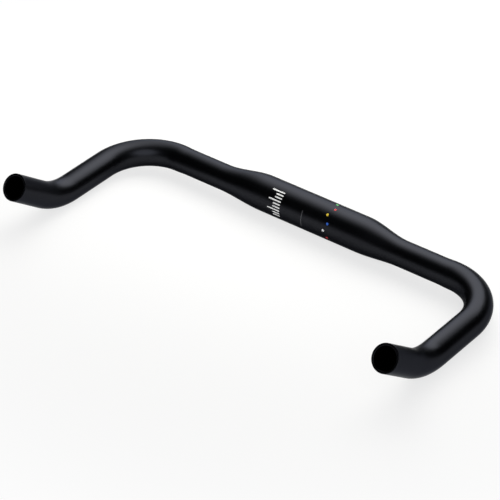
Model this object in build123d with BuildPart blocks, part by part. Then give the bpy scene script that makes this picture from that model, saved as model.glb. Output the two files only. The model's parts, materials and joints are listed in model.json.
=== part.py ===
"""Bullhorn handlebar: one aluminium tube with a clamp bulge, tapered tops and two horns with rising ends.

X runs along the clamp, the horns point to -Y and rise to +Z, and the origin is the middle of the clamp.
The bar lies as it rests on a table, on the underside of the clamp and of both horns.
"""

import os
from math import asin, atan2, degrees, hypot

from build123d import *

os.makedirs("parts", exist_ok=True)

# Overall, in millimetres and degrees
overall_width = 408.0  # from the outside of one horn to the outside of the other

# Clamp bulge, at the middle
clamp_diameter = 31.8
clamp_length = 102.0
clamp_wall = 2.4  # thicker than the rest, to carry the stem

# Taper from the clamp to the neck of the tops
taper_length = 44.0
neck_diameter = 23.0
tops_lead = 2.4  # how far the axis of the tops lies ahead of the clamp's
flare_length = 12.0  # where the tops open again, from the neck's diameter to the grip's

# Horns
grip_diameter = 23.8
bore_diameter = 19.8  # from the neck to the open ends
corner_radius = 47.0  # bend from the tops to the horn
horn_run = 45.5  # straight between the two bends
rise_radius = 57.0  # bend that lifts the end of the horn
rise_angle = 37.5
end_run = 37.5  # straight end, where a lever or a plug fits
rim_chamfer = 0.4
bore_chamfer = 0.4

# Places that follow from those sizes
taper_start = clamp_length / 2
neck_place = taper_start + taper_length
horn_place = overall_width / 2 - grip_diameter / 2
corner_place = horn_place - corner_radius
flare_place = corner_place - flare_length
corner_reach = tops_lead + corner_radius
elbow_reach = corner_reach + horn_run

# The bar tips forward until the rising bends touch the table that carries the clamp
clamp_standoff = clamp_diameter / 2 - grip_diameter / 2
rest_tilt = degrees(
    atan2(rise_radius, elbow_reach) + asin((clamp_standoff - rise_radius) / hypot(elbow_reach, rise_radius))
)


def smooth_step(share):
    """Zero at the start and one at the end, level at both."""
    return share * share * (3 - 2 * share)


def bar_form(clamp_radius, neck_radius, grip_radius, ruled_taper):
    """The whole bar as a solid with these radii, tops and horns level. Skin and bore are both such a form."""
    with BuildPart() as form:
        # Taper: a rounded shoulder, then a hollow neck, through circles that shrink and move forward together
        for half in (0, 0.5):
            for quarter in range(5):
                along = half + quarter / 8
                share = smooth_step(along)
                centre = (taper_start + along * taper_length, -share * tops_lead, 0)
                with BuildSketch(Plane(origin=centre, z_dir=(1, 0, 0))):
                    Circle(clamp_radius + share * (neck_radius - clamp_radius))
            loft(ruled=ruled_taper)

        # Tops: straight from the neck, and flared just before the corner bend
        with BuildSketch(Plane.XY):
            with Locations((0, -tops_lead)):
                Polygon(
                    (neck_place, 0),
                    (corner_place, 0),
                    (corner_place, grip_radius),
                    (flare_place, neck_radius),
                    (neck_place, neck_radius),
                    align=None,
                )
        revolve(axis=Axis((0, -tops_lead, 0), (1, 0, 0)))

        # Corner bend, level, from the tops to the horn
        with BuildLine(Plane.XY) as corner_path:
            JernArc(start=(corner_place, -tops_lead), tangent=(1, 0), radius=corner_radius, arc_size=-90)
        with BuildSketch(Plane(origin=corner_path.line @ 0, z_dir=corner_path.line % 0)):
            Circle(grip_radius)
        sweep(path=corner_path.line)

        # Horn: a straight run, the rising bend and the straight end
        horn_plane = Plane(origin=(horn_place, -corner_reach, 0), x_dir=(0, -1, 0), z_dir=(-1, 0, 0))
        with BuildLine(horn_plane) as horn_path:
            Line((0, 0), (horn_run, 0))
            JernArc(start=(horn_run, 0), tangent=(1, 0), radius=rise_radius, arc_size=rise_angle)
        with BuildSketch(Plane(origin=horn_path.line @ 0, z_dir=horn_path.line % 0)):
            Circle(grip_radius)
        sweep(path=horn_path.line)
        with BuildSketch(Plane(origin=horn_path.line @ 1, z_dir=horn_path.line % 1)):
            Circle(grip_radius)
        extrude(amount=end_run)

        # The other side, and the clamp between them
        mirror(about=Plane.YZ)
        Cylinder(radius=clamp_radius, height=clamp_length, rotation=(0, 90, 0))
    return form.part


skin = bar_form(clamp_diameter / 2, neck_diameter / 2, grip_diameter / 2, ruled_taper=False)
bore = bar_form(clamp_diameter / 2 - clamp_wall, bore_diameter / 2, bore_diameter / 2, ruled_taper=True)

with BuildPart() as handlebar:
    add(skin, rotation=(rest_tilt, 0, 0))
    add(bore, rotation=(rest_tilt, 0, 0), mode=Mode.SUBTRACT)

    # Deburred rims at the two open ends
    rim_edges = handlebar.faces().filter_by(GeomType.PLANE).edges().group_by(SortBy.RADIUS)
    chamfer(rim_edges[-1], length=rim_chamfer)
    chamfer(rim_edges[0], length=bore_chamfer)

handlebar.part.label = "handlebar"
export_step(handlebar.part, "parts/handlebar.step")
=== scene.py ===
"""Looks of a bullhorn handlebar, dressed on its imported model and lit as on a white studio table."""
import json
from math import asin, atan2, cos, hypot, pi, radians, sin

import bpy
import numpy as np
from mathutils import Matrix, Vector


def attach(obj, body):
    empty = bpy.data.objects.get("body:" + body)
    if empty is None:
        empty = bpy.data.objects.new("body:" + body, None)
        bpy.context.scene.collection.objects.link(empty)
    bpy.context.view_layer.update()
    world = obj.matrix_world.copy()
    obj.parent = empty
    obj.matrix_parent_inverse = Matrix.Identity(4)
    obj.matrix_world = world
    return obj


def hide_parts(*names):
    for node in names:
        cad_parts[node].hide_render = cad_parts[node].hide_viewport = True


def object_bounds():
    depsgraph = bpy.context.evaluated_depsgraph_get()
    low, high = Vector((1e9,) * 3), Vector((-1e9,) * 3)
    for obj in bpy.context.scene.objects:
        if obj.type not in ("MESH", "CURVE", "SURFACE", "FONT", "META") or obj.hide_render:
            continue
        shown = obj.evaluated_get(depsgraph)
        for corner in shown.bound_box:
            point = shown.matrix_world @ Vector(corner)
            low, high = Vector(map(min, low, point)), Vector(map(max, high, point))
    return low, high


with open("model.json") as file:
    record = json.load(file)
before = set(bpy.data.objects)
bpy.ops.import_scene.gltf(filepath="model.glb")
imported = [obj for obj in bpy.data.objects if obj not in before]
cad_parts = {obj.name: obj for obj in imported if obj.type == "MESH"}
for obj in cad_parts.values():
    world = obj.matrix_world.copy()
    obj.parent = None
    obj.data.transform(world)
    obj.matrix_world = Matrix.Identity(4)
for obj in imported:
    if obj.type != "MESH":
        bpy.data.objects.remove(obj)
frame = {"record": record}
cad_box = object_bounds()

# Bar: one aluminium tube, bulged for the stem clamp, drawn down to the tops and bent into two rising horns.
# Its ends are cut square and deburred. The whole is bead blasted and then anodised black, inside and out,
# so it has one colour, with the fine grain of the blasting and faint drawing lines along the tube.
MILLIMETRE = 0.001
mounts = {mount["name"]: mount for mount in frame["record"]["mounts"]}
clamp_radius = mounts["stem_clamp"]["dims"]["r_mm"] * MILLIMETRE
clamp_half = mounts["stem_clamp"]["dims"]["length_mm"] * MILLIMETRE / 2
grip_radius = mounts["left_grip_end"]["dims"]["r_mm"] * MILLIMETRE
bore_radius = mounts["left_end_bore"]["dims"]["r_mm"] * MILLIMETRE
horn_place = mounts["left_grip_end"]["pos_m"][0]
clamp_wall = 0.0024
taper_length = 0.044
neck_radius = 0.0115
tops_lead = 0.0024
flare_length = 0.012
corner_radius = 0.047
horn_run = 0.0455
rise_radius = 0.057
rise_angle = radians(37.5)
end_run = 0.0375
rim_round = 0.0004

# Distances along the middle line of the level bar, from the middle of the clamp
corner_start = horn_place - corner_radius
flare_start = corner_start - flare_length
corner_end = corner_start + corner_radius * pi / 2
rise_start = corner_end + horn_run
rise_end = rise_start + rise_radius * rise_angle
tip = rise_end + end_run

# The bar tips forward until its rising bends touch the table that carries the clamp
elbow_reach = tops_lead + corner_radius + horn_run
clamp_standoff = clamp_radius - grip_radius
rest_tilt = atan2(rise_radius, elbow_reach)
rest_tilt += asin((clamp_standoff - rise_radius) / hypot(elbow_reach, rise_radius))


def smooth_step(share):
    """Zero up to 0, one from 1, and three squares less two cubes between them."""
    share = np.clip(share, 0, 1)
    return share * share * (3 - 2 * share)


def round_angles(count):
    """This many angles, spread evenly over a full turn."""
    return np.linspace(0, 2 * pi, count, endpoint=False)


def middle_line(distance):
    """Middle points of the lying bar, with the outward and upward directions of its round section there.

    The line is straight through the clamp, shifts forward in the taper, turns level through a quarter circle,
    runs straight, turns upward through an arc and runs straight to the tip. A negative distance is on the
    mirror side.
    """
    side = np.where(distance < 0, -1, 1)
    distance = abs(distance)
    heading = np.clip((distance - corner_start) / corner_radius, 0, pi / 2)
    pitch = np.clip((distance - rise_start) / rise_radius, 0, rise_angle)
    lead = tops_lead * smooth_step((distance - clamp_half) / taper_length)
    run = np.clip(distance - corner_end, 0, horn_run)
    end = np.clip(distance - rise_end, 0, end_run)
    elbow = lead + corner_radius * (1 - np.cos(heading)) + run
    x = np.minimum(distance, corner_start) + corner_radius * np.sin(heading)
    y = elbow + rise_radius * np.sin(pitch) + end * cos(rise_angle)
    z = rise_radius * (1 - np.cos(pitch)) + end * sin(rise_angle)
    level = np.zeros_like(distance)
    middle = np.stack([side * x, -y, z], axis=-1)
    outward = np.stack([side * np.sin(heading), np.cos(heading), level], axis=-1)
    sideways = -side * np.cos(heading) * np.sin(pitch)
    upward = np.stack([sideways, np.sin(heading) * np.sin(pitch), np.cos(pitch)], axis=-1)
    lying = np.array(Matrix.Rotation(rest_tilt, 3, "X")).T
    return middle @ lying, outward @ lying, upward @ lying


def skin_radius(distance):
    """The clamp's radius, blended to the neck's over the taper and to the grip's over the flare."""
    taper = smooth_step((abs(distance) - clamp_half) / taper_length)
    flare = smooth_step((abs(distance) - flare_start) / flare_length)
    return clamp_radius + taper * (neck_radius - clamp_radius) + flare * (grip_radius - neck_radius)


def hollow_radius(distance):
    """The clamp's radius less its wall, blended over the taper to the bore that runs to both ends."""
    taper = smooth_step((abs(distance) - clamp_half) / taper_length)
    clamp_bore = clamp_radius - clamp_wall
    return clamp_bore + taper * (bore_radius - clamp_bore)


def wall_section():
    """Distance and radius along the closed outline of the wall, cut lengthwise.

    The outline runs along the skin, round the far rim's two rounded edges, back along the bore and round the
    near rim to its start.
    """
    skin_step = 0.0015
    bore_step = 0.003
    points_per_edge = 6
    rim_edge = tip - rim_round
    # A last row close to each rounded edge keeps the shading of the long faces straight
    edge_row = rim_edge - rim_round
    skin = np.linspace(-edge_row, edge_row, round(2 * edge_row / skin_step))
    bore = np.linspace(edge_row, -edge_row, round(2 * edge_row / bore_step))
    turn = np.linspace(0, pi / 2, points_per_edge)
    rim_distance = rim_edge + rim_round * np.concatenate([np.sin(turn), np.cos(turn)])
    outer_edge = grip_radius - rim_round * (1 - np.cos(turn))
    inner_edge = bore_radius + rim_round * (1 - np.sin(turn))
    rim_radius = np.concatenate([outer_edge, inner_edge])
    distance = np.concatenate([skin, rim_distance, bore, -rim_distance[::-1]])
    radius = np.concatenate([skin_radius(skin), rim_radius, hollow_radius(bore), rim_radius[::-1]])
    return distance, radius


def tube_surface(distance, radius, around):
    """Points of circles of these radii, carried along the middle line and square to it."""
    turn = round_angles(around)[None, :, None]
    middle, outward, upward = middle_line(distance)
    circle = np.cos(turn) * outward[:, None] + np.sin(turn) * upward[:, None]
    return middle[:, None] + radius[:, None, None] * circle


def looped_mesh(name, points):
    """A mesh of four-sided faces on a grid of points that closes on itself both ways."""
    rows, columns = points.shape[:2]
    index = np.arange(rows * columns).reshape(rows, columns)
    next_row = np.roll(index, -1, axis=0)
    faces = np.stack([index, np.roll(index, -1, axis=1), np.roll(next_row, -1, axis=1), next_row], axis=-1)
    mesh = bpy.data.meshes.new(name)
    mesh.from_pydata(points.reshape(-1, 3).tolist(), [], faces.reshape(-1, 4).tolist())
    mesh.shade_smooth()
    return mesh


def placed(name, data):
    """An object of this name with this mesh, lamp or camera, put in the scene at the origin."""
    made = bpy.data.objects.new(name, data)
    bpy.context.scene.collection.objects.link(made)
    return made


class Channel:
    """One socket in a node tree. Arithmetic on channels adds Math nodes, and node() adds any other node."""

    def __init__(self, tree, socket=None):
        self.tree = tree
        self.socket = socket

    def node(self, kind, settings, sockets, output=0):
        """Adds a node with these settings, then sets or links these sockets of it, and gives one output."""
        made = self.tree.nodes.new(kind)
        for name, value in settings.items():
            setattr(made, name, value)
        for name, value in sockets.items():
            if isinstance(value, Channel):
                self.tree.links.new(value.socket, made.inputs[name])
            else:
                made.inputs[name].default_value = value
        return Channel(self.tree, made.outputs[output]) if made.outputs else None

    def beside(self, output):
        """Another output of the node that gives this channel."""
        return Channel(self.tree, self.socket.node.outputs[output])

    def arithmetic(self, operation, first, second):
        """Adds a Math node on two channels or numbers."""
        return self.node("ShaderNodeMath", {"operation": operation}, {0: first, 1: second})

    def __add__(self, other):
        return self.arithmetic("ADD", self, other)

    def __radd__(self, other):
        return self.arithmetic("ADD", other, self)

    def __sub__(self, other):
        return self.arithmetic("SUBTRACT", self, other)

    def __rsub__(self, other):
        return self.arithmetic("SUBTRACT", other, self)

    def __mul__(self, other):
        return self.arithmetic("MULTIPLY", self, other)

    def __rmul__(self, other):
        return self.arithmetic("MULTIPLY", other, self)


def emptied_nodes(owner):
    """The channel that adds to the emptied node tree of a material, lamp or world."""
    owner.use_nodes = True
    owner.node_tree.nodes.clear()
    return Channel(owner.node_tree)


def noise(place, cells, detail):
    """Soft noise from 0 to 1, with this many cells to a unit of the place and finer noise to this detail."""
    return place.node("ShaderNodeTexNoise", {}, {"Vector": place, "Scale": cells, "Detail": detail})


def blended(share, first, second):
    """The first colour where the share is 0, the second where it is 1, and a mix of the two between."""
    sockets = {"Factor": share, "A": first, "B": second}
    return share.node("ShaderNodeMix", {"data_type": "RGBA"}, sockets, "Result")


def black_anodising():
    """Dyed oxide on blasted aluminium: almost black with a blue cast, and a wide soft sheen.

    It is shaded as a dark metal, so that its edges stay dark too. Clouds about two centimetres wide vary its
    depth and sheen. Lines along the tube vary the sheen a little more, and the blasting is a fine bump
    all over.
    """
    deep_black = (0.0162, 0.0168, 0.02, 1)
    worn_black = (0.0201, 0.0208, 0.0247, 1)
    edge_tint = (0.5, 0.505, 0.52, 1)
    clouds_per_metre = 45
    cloud_detail = 3.0
    lines_per_step = 1.0
    line_detail = 2.0
    grains_per_metre = 2600
    grain_detail = 1.0
    grain_height = 0.000012
    grain_strength = 0.6
    sheen_roughness = 0.32
    cloud_share = 0.06
    line_share = 0.05
    noise_middle = 0.5
    material = bpy.data.materials.new("black_anodised_aluminium")
    nodes = emptied_nodes(material)
    place = nodes.node("ShaderNodeTexCoord", {}, {}, "Object")
    along_tube = nodes.node("ShaderNodeAttribute", {"attribute_name": "tube_place"}, {}, "Vector")
    clouds = noise(place, clouds_per_metre, cloud_detail)
    lines = noise(along_tube, lines_per_step, line_detail)
    grains = noise(place, grains_per_metre, grain_detail)
    clouding = cloud_share * (clouds - noise_middle)
    drawing = line_share * (lines - noise_middle)
    blasting = nodes.node(
        "ShaderNodeBump", {}, {"Strength": grain_strength, "Distance": grain_height, "Height": grains}
    )
    shader = nodes.node(
        "ShaderNodeBsdfPrincipled",
        {},
        {
            "Base Color": blended(clouds, deep_black, worn_black),
            "Roughness": sheen_roughness + clouding + drawing,
            "Metallic": 1.0,
            "Specular Tint": edge_tint,
            "Normal": blasting,
        },
    )
    nodes.node("ShaderNodeOutputMaterial", {}, {"Surface": shader})
    return material


around_bar = 120
wall_distance, wall_radius = wall_section()
bar = placed("bar", looped_mesh("bar", tube_surface(wall_distance, wall_radius, around_bar)))

# Where each point lies on the tube, for the drawing lines: few steps along it and many round it
steps_along = 12
steps_around = 9
bar_angles = round_angles(around_bar)
tube_place = np.stack(
    np.broadcast_arrays(
        steps_along * wall_distance[:, None],
        steps_around * np.cos(bar_angles),
        steps_around * np.sin(bar_angles),
    ),
    axis=-1,
)
place_attribute = bar.data.attributes.new("tube_place", "FLOAT_VECTOR", "POINT")
place_attribute.data.foreach_set("vector", tube_place.astype(np.float32).ravel())
bar.data.materials.append(black_anodising())
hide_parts("handlebar")
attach(bar, "root")

# Printing: thin films of ink, laid on the clamp through a screen after anodising.
# A fine grey line marks the middle for the stem. Beside the stem, a white scale shows how far the bar is
# turned, and coloured dots run round in two staggered rows. Angles go round from straight ahead upward.
film_height = 0.00004
film_root = 0.00003
stroke_squareness = 8
dot_squareness = 2


def ink_films(name, places, angles, half_lengths, half_arc, squareness, colours):
    """A piece of like marks: closed films with domed edges, wrapped on the clamp at their places and angles.

    A mark is a superellipse, so at a share u of its half length its half width is (1 - u^s)^(1/s) of the
    whole. A squareness s of 2 gives a dot and 8 a stroke with rounded corners. Its two ends are cut off just
    short of a point, its height falls away at both edges, and its edges are rooted in the clamp.
    """
    rows_along = 13
    points_across = 25
    end_cut = 1.45
    edge_fall = 8
    along = np.sin(np.linspace(-end_cut, end_cut, rows_along))
    across = np.sin(np.linspace(-pi / 2, pi / 2, points_across))
    heights = film_height * np.sqrt(1 - across**edge_fall)
    heights[[0, -1]] = -film_root
    spread = (1 - abs(along) ** squareness) ** (1 / squareness)
    wrap = half_arc / clamp_radius * spread[:, None] * across
    x = places[:, None, None] + half_lengths[:, None, None] * along[:, None]
    angle = angles[:, None, None] + wrap
    x, angle, radius = np.broadcast_arrays(x, angle, clamp_radius + heights)
    points = np.stack([x, -radius * np.cos(angle), radius * np.sin(angle)], axis=-1)
    index = np.arange(x.size).reshape(x.shape)
    next_across = np.roll(index, -1, axis=2)
    sides = np.stack([index[:, :-1], index[:, 1:], next_across[:, 1:], next_across[:, :-1]], axis=-1)
    caps = np.concatenate([index[:, 0], index[:, -1, ::-1]])
    mesh = bpy.data.meshes.new(name)
    mesh.from_pydata(points.reshape(-1, 3).tolist(), [], [*sides.reshape(-1, 4).tolist(), *caps.tolist()])
    colour_attribute = mesh.attributes.new("ink_colour", "FLOAT_COLOR", "POINT")
    mark_colours = np.resize(colours, (len(places), 4))
    point_colours = np.repeat(mark_colours, rows_along * points_across, axis=0)
    colour_attribute.data.foreach_set("color", point_colours.astype(np.float32).ravel())
    piece = placed(name, mesh)
    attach(piece, "root")
    return piece


def screen_ink():
    """Matt ink in the mark's own colour, a little thinner in places, with the faint weave of the screen."""
    thin_share = 0.1
    black_beneath = (0.01, 0.01, 0.012, 1)
    patches_per_metre = 900
    patch_detail = 2.0
    least_roughness = 0.45
    patch_roughness = 0.2
    gloss_level = 0.3
    weave_per_metre = 9000
    weave_detail = 1.0
    weave_height = film_height / 4
    weave_strength = 0.3
    material = bpy.data.materials.new("screen_ink")
    nodes = emptied_nodes(material)
    place = nodes.node("ShaderNodeTexCoord", {}, {}, "Object")
    own_colour = nodes.node("ShaderNodeAttribute", {"attribute_name": "ink_colour"}, {}, "Color")
    patches = noise(place, patches_per_metre, patch_detail)
    weave = noise(place, weave_per_metre, weave_detail)
    bump = nodes.node(
        "ShaderNodeBump", {}, {"Strength": weave_strength, "Distance": weave_height, "Height": weave}
    )
    shader = nodes.node(
        "ShaderNodeBsdfPrincipled",
        {},
        {
            "Base Color": blended(thin_share * patches, own_colour, black_beneath),
            "Roughness": least_roughness + patch_roughness * patches,
            "Specular IOR Level": gloss_level,
            "Normal": bump,
        },
    )
    nodes.node("ShaderNodeOutputMaterial", {}, {"Surface": shader})
    return material


white_ink = (0.93, 0.93, 0.93, 1)
grey_ink = (0.16, 0.16, 0.17, 1)
blue_ink = (0.03, 0.13, 0.6, 1)
yellow_ink = (0.8, 0.58, 0.04, 1)
red_ink = (0.62, 0.03, 0.04, 1)
green_ink = (0.05, 0.4, 0.08, 1)

line_place = -0.0015
line_width = 0.00035
line_bottom = radians(-21)
line_top = radians(35)
centre_line = ink_films(
    "centre_line",
    np.array([line_place]),
    np.array([(line_bottom + line_top) / 2]),
    np.array([line_width / 2]),
    clamp_radius * (line_top - line_bottom) / 2,
    stroke_squareness,
    [grey_ink],
)

# Every third tick of the scale is a long one, and all end level beside the stem
first_tick = -2
last_tick = 6
long_every = 3
tick_angle = radians(10)
tick_width = 0.0012
long_tick = 0.013
short_tick = 0.0076
scale_edge = -0.0245
ticks = np.arange(first_tick, last_tick + 1)
tick_halves = np.where(ticks % long_every == 0, long_tick, short_tick) / 2
angle_scale = ink_films(
    "angle_scale",
    scale_edge - tick_halves,
    ticks * tick_angle,
    tick_halves,
    tick_width / 2,
    stroke_squareness,
    [white_ink],
)

dot_count = 14
dot_diameter = 0.0024
dots_place = 0.0236
dots_stagger = 0.0016
dot_rows = np.where(np.arange(dot_count) % 2 == 0, -1, 1)
colour_dots = ink_films(
    "colour_dots",
    dots_place + dots_stagger * dot_rows,
    round_angles(dot_count),
    np.full(dot_count, dot_diameter / 2),
    dot_diameter / 2,
    dot_squareness,
    [white_ink, blue_ink, yellow_ink, red_ink, green_ink],
)

print_ink = screen_ink()
for print_piece in (centre_line, angle_scale, colour_dots):
    print_piece.data.materials.append(print_ink)

# Table: a white board, glowing plain white, wide enough to fill the view and to show in the bar's underside.
# It lies at the lowest point of the bar and keeps the bar's shadow, lightened by the board's painted glow.
table_radius = 6.0
table_corners = 96
table_height = cad_box[0].z
rim_angles = round_angles(table_corners)
table_rim = np.stack(
    np.broadcast_arrays(table_radius * np.cos(rim_angles), table_radius * np.sin(rim_angles), table_height),
    axis=-1,
)
table_mesh = bpy.data.meshes.new("table")
table_mesh.from_pydata(table_rim.tolist(), [], [list(range(table_corners))])
table = placed("table", table_mesh)


def eased(value, start, finish, least=0.0):
    """A channel that goes from its least to 1 as a value goes from start to finish, by the smooth step."""
    return value.node(
        "ShaderNodeMapRange",
        {"interpolation_type": "SMOOTHSTEP"},
        {"Value": value, "From Min": start, "From Max": finish, "To Min": least, "To Max": 1.0},
    )


def white_board():
    """A matt white board that glows plain white away from the bar, where no shadow falls: painted light.

    To the eye it mostly glows white beside the bar as well, a painted light that keeps the shadow light. In
    the bar's sheen it is a lit board under the clamp, and glows plain white from the two ends outwards.
    """
    board_white = (0.9, 0.9, 0.9, 1)
    least_shown = 0.72
    glow_from = 0.15
    shown_glow_at = 0.55
    mirrored_glow_at = 0.25
    material = bpy.data.materials.new("white_board")
    nodes = emptied_nodes(material)
    seen = nodes.node("ShaderNodeLightPath", {}, {}, "Is Camera Ray")
    in_sheen = seen.beside("Is Glossy Ray") + seen.beside("Is Transmission Ray")
    place = nodes.node("ShaderNodeTexCoord", {}, {}, "Object")
    away = nodes.node("ShaderNodeVectorMath", {"operation": "LENGTH"}, {0: place}, "Value")
    shown = eased(away, glow_from, shown_glow_at, least_shown)
    mirrored = eased(away, glow_from, mirrored_glow_at)
    board = nodes.node("ShaderNodeBsdfDiffuse", {}, {"Color": board_white})
    # Painted light: an emission of strength 1 that makes the board glow plain white, though it is no lamp
    white_glow = nodes.node("ShaderNodeEmission", {}, {"Strength": 1.0})
    # The glow's share rises with distance from the bar: from most of the whole to the eye, from none in the
    # bar's sheen
    glow_share = shown * seen + mirrored * in_sheen
    shader = nodes.node("ShaderNodeMixShader", {}, {"Fac": glow_share, 1: board, 2: white_glow})
    nodes.node("ShaderNodeOutputMaterial", {}, {"Surface": shader})
    return material


table.data.materials.append(white_board())

# Studio: a long, slightly warm softbox hung low over the table, from beside the bar away to the back left,
# and a weaker, slightly cool front light behind the camera. The softbox fades towards its two front edges.
# The walls are dim, and pale close to the floor, so a low view has a white ground.
softbox_size = (3.07, 1.17)
softbox_fade = 0.4
softbox_place = (-0.877, 1.141, 0.532)
softbox_turn = radians(-44)
softbox_tilt = radians(9)
softbox_power = 60
softbox_colour = (1.0, 0.995, 0.95)
front_diameter = 2.2
front_place = (1.05, -1.5, 1.2)
front_power = 24
front_colour = (0.95, 0.97, 1.0)


def studio_lamp(name, shape, power, colour, place):
    """An area lamp of this shape, power and colour at its place, out of the camera's sight."""
    light = bpy.data.lights.new(name, "AREA")
    light.shape = shape
    light.energy = power
    light.color = colour
    lamp = placed(name, light)
    lamp.location = place
    lamp.visible_camera = False
    return lamp


softbox = studio_lamp("softbox", "RECTANGLE", softbox_power, softbox_colour, softbox_place)
softbox.data.size, softbox.data.size_y = softbox_size
softbox.rotation_euler = (softbox_tilt, 0, softbox_turn)

# The softbox's cloth is dark at its front end and front side, and bright from the width of the fade inwards
cloth = emptied_nodes(softbox.data)
cloth_place = cloth.node("ShaderNodeNewGeometry", {}, {}, "Parametric")
lengthwise = cloth.node("ShaderNodeSeparateXYZ", {}, {"Vector": cloth_place}, "X")
from_end = softbox_size[0] * (1 - lengthwise)
from_side = softbox_size[1] * lengthwise.beside("Y")
cloth_strength = eased(from_end, 0.0, softbox_fade) * eased(from_side, 0.0, softbox_fade)
glow = cloth.node("ShaderNodeEmission", {}, {"Strength": cloth_strength})
cloth.node("ShaderNodeOutputLight", {}, {"Surface": glow})

front = studio_lamp("front_light", "DISK", front_power, front_colour, front_place)
front.data.size = front_diameter
front.rotation_euler = Vector(front_place).to_track_quat("Z", "Y").to_euler()

pale_up_to = 0.03
dim_from = 0.09
wall_white = (1.0, 1.0, 1.0, 1)
wall_dim = (0.01, 0.01, 0.011, 1)
studio = bpy.data.worlds.new("studio")
walls = emptied_nodes(studio)
towards = walls.node("ShaderNodeTexCoord", {}, {}, "Generated")
height = walls.node("ShaderNodeSeparateXYZ", {}, {"Vector": towards}, "Z")
wall_colour = blended(eased(height, pale_up_to, dim_from), wall_white, wall_dim)
background = walls.node("ShaderNodeBackground", {}, {"Color": wall_colour, "Strength": 1.0})
walls.node("ShaderNodeOutputWorld", {}, {"Surface": background})
bpy.context.scene.world = studio

# Camera: level, from the photograph's direction, with a long lens.
# Its place, its two angles and its lens were found from the outline of the bar.
camera_azimuth = radians(39.128)
camera_elevation = radians(33.427)
camera_place = (1.036866, -1.359599, 1.091171)
focal_pixels = 2408.06
frame_pixels = 500
sensor_width = 36.0
farthest_seen = 50.0
lens = bpy.data.cameras.new("camera")
lens.sensor_width = sensor_width
lens.lens = focal_pixels / frame_pixels * sensor_width
lens.clip_end = farthest_seen
camera = placed("camera", lens)
camera.location = camera_place
camera.rotation_euler = (pi / 2 - camera_elevation, 0, camera_azimuth)
bpy.context.scene.camera = camera
bpy.context.scene.view_settings.view_transform = "Standard"
